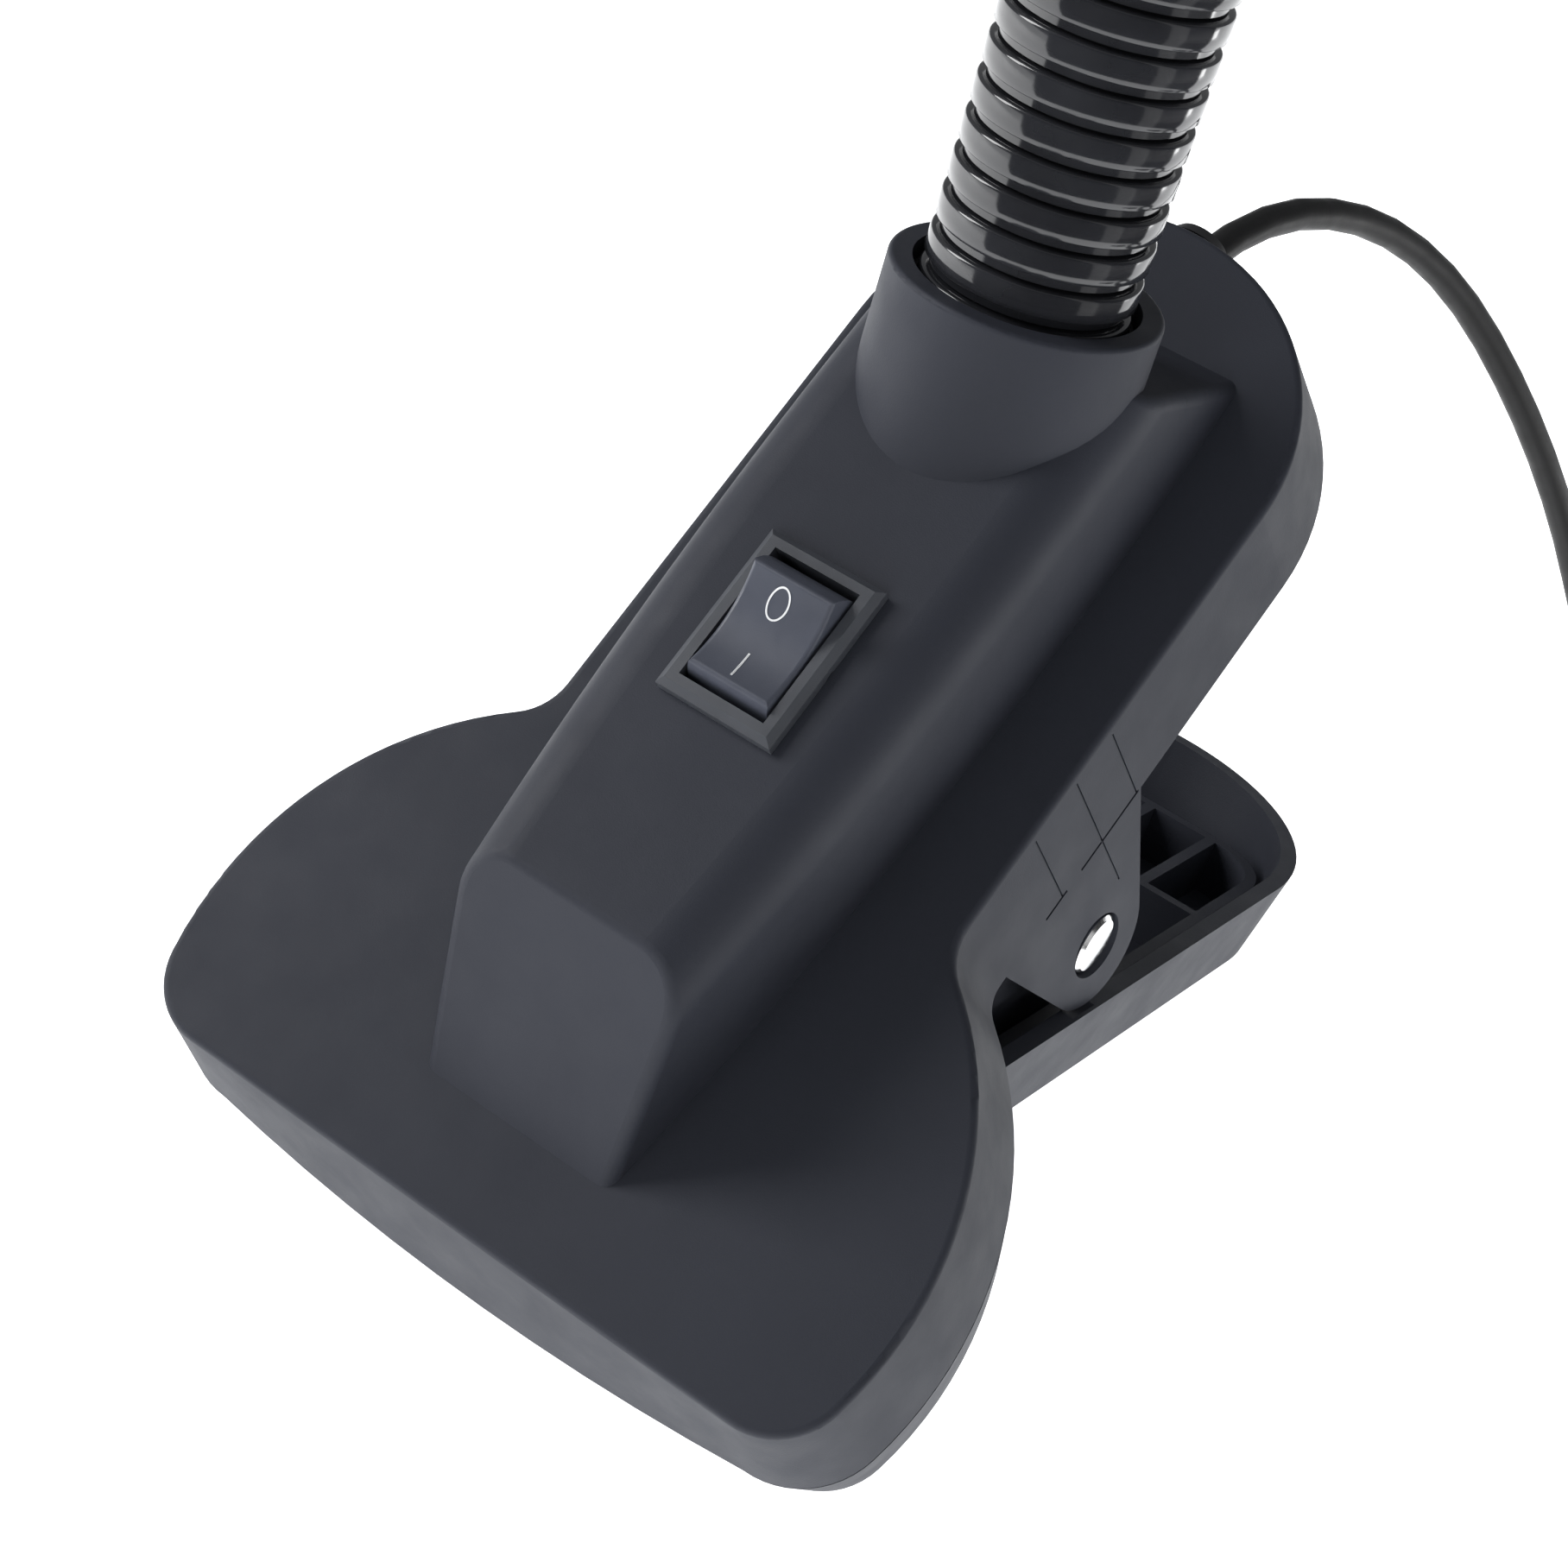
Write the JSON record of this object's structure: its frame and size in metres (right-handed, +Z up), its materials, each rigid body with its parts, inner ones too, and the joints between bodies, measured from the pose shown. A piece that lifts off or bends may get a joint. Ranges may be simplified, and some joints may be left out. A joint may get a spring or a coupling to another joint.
{
  "type": "clip-on gooseneck holder stand",
  "caption": "Spring clip stand with a bell-shaped jaw, a housing with a rocker switch, a ribbed gooseneck ending in a threaded nipple, and a low-voltage lead.",
  "frame": {"origin": "on the table, under the middle of the stand's length and width, cord left out", "axes": "+X to the right, +Y from the mouth towards the handles, +Z up"},
  "size_m": [0.1828, 0.2139, 0.2736],
  "materials": {
    "jaw_plastic": "fine satin",
    "grip_rubber": "matte",
    "cover_plastic": "matte",
    "screw_steel": "zinc",
    "clamp_plastic": "matte",
    "pin_steel": "bright",
    "bush_plastic": "satin",
    "spring_steel": "drawn",
    "switch_plastic": "satin",
    "rocker_plastic": "satin",
    "contact_brass": "bright",
    "lead_pvc": "smooth",
    "neck_plastic": "gloss",
    "core_steel": "wound",
    "ferrule_black": "satin black",
    "nipple_steel": "turned",
    "cord_pvc": "smooth",
    "plug_steel": "plated",
    "tongue_plastic": "smooth"
  },
  "bodies": {
    "upper_jaw": {"upper_jaw_shell": "jaw_plastic", "upper_grip_pad": "grip_rubber", "housing_cover": "cover_plastic", "cover_screws": "screw_steel", "cord_clamp_bar": "clamp_plastic", "cord_clamp_screws": "screw_steel", "cord_grommet": "grip_rubber", "torsion_spring_upper_leg": "spring_steel", "switch_frame": "switch_plastic", "switch_contacts": "contact_brass", "supply_leads": "lead_pvc", "neck_leads": "lead_pvc", "neck_base_ferrule": "ferrule_black", "neck_lock_nut": "nipple_steel", "collar_ring": "ferrule_black", "neck_base_sleeve": "neck_plastic", "neck_base_core": "core_steel", "supply_cord": "cord_pvc", "supply_cord_coil": "cord_pvc", "supply_cord_tail": "cord_pvc", "usb_plug_body": "cord_pvc", "usb_plug_shell": "plug_steel", "usb_plug_tongue": "tongue_plastic"},
    "lower_jaw": {"lower_jaw_tray": "jaw_plastic", "lower_grip_pad": "grip_rubber", "hinge_pin": "pin_steel", "hinge_pin_cap": "pin_steel", "spring_bush": "bush_plastic", "torsion_spring": "spring_steel"},
    "rocker": {"switch_rocker": "rocker_plastic", "rocker_plunger": "rocker_plastic", "rocker_plunger_spring": "spring_steel"},
    "contact_lever": {"switch_contact_lever": "contact_brass"},
    "neck_link_1": {"neck_sleeve_1": "neck_plastic", "neck_core_1": "core_steel"},
    "neck_link_2": {"neck_sleeve_2": "neck_plastic", "neck_core_2": "core_steel"},
    "neck_link_3": {"neck_sleeve_3": "neck_plastic", "neck_core_3": "core_steel"},
    "neck_link_4": {"neck_sleeve_4": "neck_plastic", "neck_core_4": "core_steel"},
    "neck_link_5": {"neck_sleeve_5": "neck_plastic", "neck_core_5": "core_steel"},
    "neck_link_6": {"neck_sleeve_6": "neck_plastic", "neck_core_6": "core_steel", "neck_end_ferrule": "ferrule_black", "neck_end_nipple": "nipple_steel"}
  },
  "joints": [
    {"name": "jaw_hinge", "type": "hinge", "parent": "upper_jaw", "child": "lower_jaw", "pos_m": [0, -0.00478, 0.04009], "axis": [1, 0, 0], "range_deg": [0, 45], "stiffness_Nm_per_rad": 0.6, "springref_deg": -45.84},
    {"name": "rocker_tilt", "type": "hinge", "parent": "upper_jaw", "child": "rocker", "pos_m": [0, -0.03854, 0.07987], "axis": [-1, 0, 0], "range_deg": [0, 20]},
    {"name": "lever_tilt", "type": "hinge", "parent": "upper_jaw", "child": "contact_lever", "pos_m": [0, -0.03435, 0.07402], "axis": [-1, 0, 0], "range_deg": [-16, 0]},
    {"name": "neck_nod_1", "type": "hinge", "parent": "upper_jaw", "child": "neck_link_1", "pos_m": [0, -0.00051, 0.12888], "axis": [1, 0, 0], "range_deg": [-25, 25]},
    {"name": "neck_sway_1", "type": "hinge", "parent": "neck_link_1", "child": "neck_link_2", "pos_m": [0, 0.00163, 0.15028], "axis": [0, -0.995, 0.0995], "range_deg": [-25, 25]},
    {"name": "neck_nod_2", "type": "hinge", "parent": "neck_link_2", "child": "neck_link_3", "pos_m": [0, 0.00377, 0.17167], "axis": [1, 0, 0], "range_deg": [-25, 25]},
    {"name": "neck_sway_2", "type": "hinge", "parent": "neck_link_3", "child": "neck_link_4", "pos_m": [0, 0.00591, 0.19306], "axis": [0, -0.995, 0.0995], "range_deg": [-25, 25]},
    {"name": "neck_nod_3", "type": "hinge", "parent": "neck_link_4", "child": "neck_link_5", "pos_m": [0, 0.00805, 0.21446], "axis": [1, 0, 0], "range_deg": [-25, 25]},
    {"name": "neck_sway_3", "type": "hinge", "parent": "neck_link_5", "child": "neck_link_6", "pos_m": [0, 0.01019, 0.23585], "axis": [0, -0.995, 0.0995], "range_deg": [-25, 25]}
  ],
  "couplings": [
    {"joint": "lever_tilt", "follows": "rocker_tilt", "ratio": -0.8}
  ]
}
